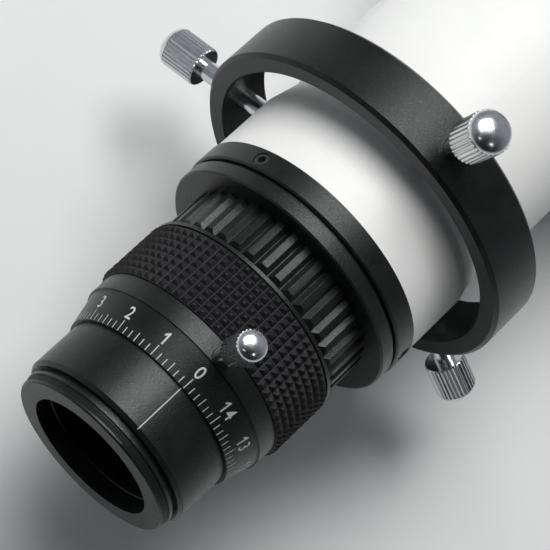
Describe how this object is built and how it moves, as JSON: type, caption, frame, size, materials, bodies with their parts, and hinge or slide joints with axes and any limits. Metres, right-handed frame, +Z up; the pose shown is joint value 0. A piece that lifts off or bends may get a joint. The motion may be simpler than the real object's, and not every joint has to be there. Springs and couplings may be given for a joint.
{
  "type": "guide scope",
  "caption": "Short white refractor with a black helical focuser, clamped by thumbscrews in two open rings on a dovetail bar.",
  "frame": {"origin": "centre of the dovetail bar's underside, midway between the two rings", "axes": "+Z up from the bar to the scope, +Y along the optical axis from the eyepiece end to the objective, +X to the right when looking along +Y"},
  "size_m": [0.1134, 0.273, 0.1232],
  "materials": {
    "black_anodised": "fine-blasted black anodising, satin",
    "white_tube": "aluminium tube with smooth white gloss paint",
    "black_rubber": "matt moulded rubber",
    "bright_steel": "polished nickel plate",
    "black_steel": "black oxide",
    "grey_nylon": "plain dark nylon",
    "matt_black": "flat black paint",
    "coated_glass": "clear with a thin coating"
  },
  "bodies": {
    "scope_in_rings": {"main_tube": "white_tube", "tube_collar": "black_anodised", "focuser_base": "black_anodised", "guide_screw": "black_steel", "set_screw_1": "black_steel", "set_screw_2": "black_steel", "set_screw_3": "black_steel", "rear_baffle": "matt_black", "front_baffle": "matt_black", "objective_cell": "black_anodised", "flint_lens": "coated_glass", "lens_spacer": "matt_black", "crown_lens": "coated_glass", "lens_retaining_ring": "black_anodised", "dew_shield": "black_anodised", "rear_ring": "black_anodised", "front_ring": "black_anodised", "rear_ring_bolt": "black_steel", "front_ring_bolt": "black_steel", "dovetail_bar": "black_anodised"},
    "focus_ring": {"focus_ring": "black_anodised", "grip_sleeve": "black_rubber", "retainer_screw_1": "black_steel", "retainer_screw_2": "black_steel", "retainer_screw_3": "black_steel"},
    "drawtube": {"drawtube": "black_anodised", "eyepiece_end_ring": "black_anodised"},
    "lock_tip": {"lock_screw_tip": "grey_nylon"},
    "lock_screw": {"lock_screw": "bright_steel"},
    "rear_tip_top": {"rear_ring_tip_top": "grey_nylon"},
    "rear_screw_top": {"rear_ring_screw_top": "bright_steel"},
    "rear_tip_right": {"rear_ring_tip_right": "grey_nylon"},
    "rear_screw_right": {"rear_ring_screw_right": "bright_steel"},
    "rear_tip_left": {"rear_ring_tip_left": "grey_nylon"},
    "rear_screw_left": {"rear_ring_screw_left": "bright_steel"},
    "front_tip_top": {"front_ring_tip_top": "grey_nylon"},
    "front_screw_top": {"front_ring_screw_top": "bright_steel"},
    "front_tip_right": {"front_ring_tip_right": "grey_nylon"},
    "front_screw_right": {"front_ring_screw_right": "bright_steel"},
    "front_tip_left": {"front_ring_tip_left": "grey_nylon"},
    "front_screw_left": {"front_ring_screw_left": "bright_steel"}
  },
  "joints": [
    {"name": "focus_turn", "type": "hinge", "parent": "scope_in_rings", "child": "focus_ring", "pos_m": [0.00095, -0.1058, 0.0589], "axis": [0, 1, 0], "range_deg": [0, 360]},
    {"name": "drawtube_travel", "type": "slide", "parent": "scope_in_rings", "child": "drawtube", "axis": [0, -1, 0], "range_m": [0, 0.015]},
    {"name": "lock_screw_travel", "type": "slide", "parent": "focus_ring", "child": "lock_tip", "axis": [0, 0, 1], "range_m": [0, 0.0021]},
    {"name": "lock_screw_turn", "type": "hinge", "parent": "lock_tip", "child": "lock_screw", "pos_m": [0.00095, -0.1084, 0.0989], "axis": [0, 0, 1], "range_deg": [0, 1080]},
    {"name": "rear_screw_top_travel", "type": "slide", "parent": "scope_in_rings", "child": "rear_tip_top", "axis": [0, 0, 1], "range_m": [0, 0.004]},
    {"name": "rear_screw_top_turn", "type": "hinge", "parent": "rear_tip_top", "child": "rear_screw_top", "pos_m": [0, -0.045, 0.1095], "axis": [0, 0, 1], "range_deg": [0, 1800]},
    {"name": "rear_screw_right_travel", "type": "slide", "parent": "scope_in_rings", "child": "rear_tip_right", "axis": [0.866, 0, -0.5], "range_m": [0, 0.004]},
    {"name": "rear_screw_right_turn", "type": "hinge", "parent": "rear_tip_right", "child": "rear_screw_right", "pos_m": [0.0433, -0.045, 0.0345], "axis": [0.866, 0, -0.5], "range_deg": [0, 1800]},
    {"name": "rear_screw_left_travel", "type": "slide", "parent": "scope_in_rings", "child": "rear_tip_left", "axis": [-0.866, 0, -0.5], "range_m": [0, 0.004]},
    {"name": "rear_screw_left_turn", "type": "hinge", "parent": "rear_tip_left", "child": "rear_screw_left", "pos_m": [-0.0433, -0.045, 0.0345], "axis": [-0.866, 0, -0.5], "range_deg": [0, 1800]},
    {"name": "front_screw_top_travel", "type": "slide", "parent": "scope_in_rings", "child": "front_tip_top", "axis": [0, 0, 1], "range_m": [0, 0.004]},
    {"name": "front_screw_top_turn", "type": "hinge", "parent": "front_tip_top", "child": "front_screw_top", "pos_m": [0, 0.045, 0.1095], "axis": [0, 0, 1], "range_deg": [0, 1800]},
    {"name": "front_screw_right_travel", "type": "slide", "parent": "scope_in_rings", "child": "front_tip_right", "axis": [0.866, 0, -0.5], "range_m": [0, 0.004]},
    {"name": "front_screw_right_turn", "type": "hinge", "parent": "front_tip_right", "child": "front_screw_right", "pos_m": [0.0433, 0.045, 0.0345], "axis": [0.866, 0, -0.5], "range_deg": [0, 1800]},
    {"name": "front_screw_left_travel", "type": "slide", "parent": "scope_in_rings", "child": "front_tip_left", "axis": [-0.866, 0, -0.5], "range_m": [0, 0.004]},
    {"name": "front_screw_left_turn", "type": "hinge", "parent": "front_tip_left", "child": "front_screw_left", "pos_m": [-0.0433, 0.045, 0.0345], "axis": [-0.866, 0, -0.5], "range_deg": [0, 1800]}
  ],
  "couplings": [
    {"joint": "focus_turn", "follows": "drawtube_travel", "rad_per_m": 418.88},
    {"joint": "lock_screw_turn", "follows": "lock_screw_travel", "rad_per_m": 8976},
    {"joint": "rear_screw_top_turn", "follows": "rear_screw_top_travel", "rad_per_m": 7854},
    {"joint": "rear_screw_right_turn", "follows": "rear_screw_right_travel", "rad_per_m": 7854},
    {"joint": "rear_screw_left_turn", "follows": "rear_screw_left_travel", "rad_per_m": 7854},
    {"joint": "front_screw_top_turn", "follows": "front_screw_top_travel", "rad_per_m": 7854},
    {"joint": "front_screw_right_turn", "follows": "front_screw_right_travel", "rad_per_m": 7854},
    {"joint": "front_screw_left_turn", "follows": "front_screw_left_travel", "rad_per_m": 7854}
  ]
}
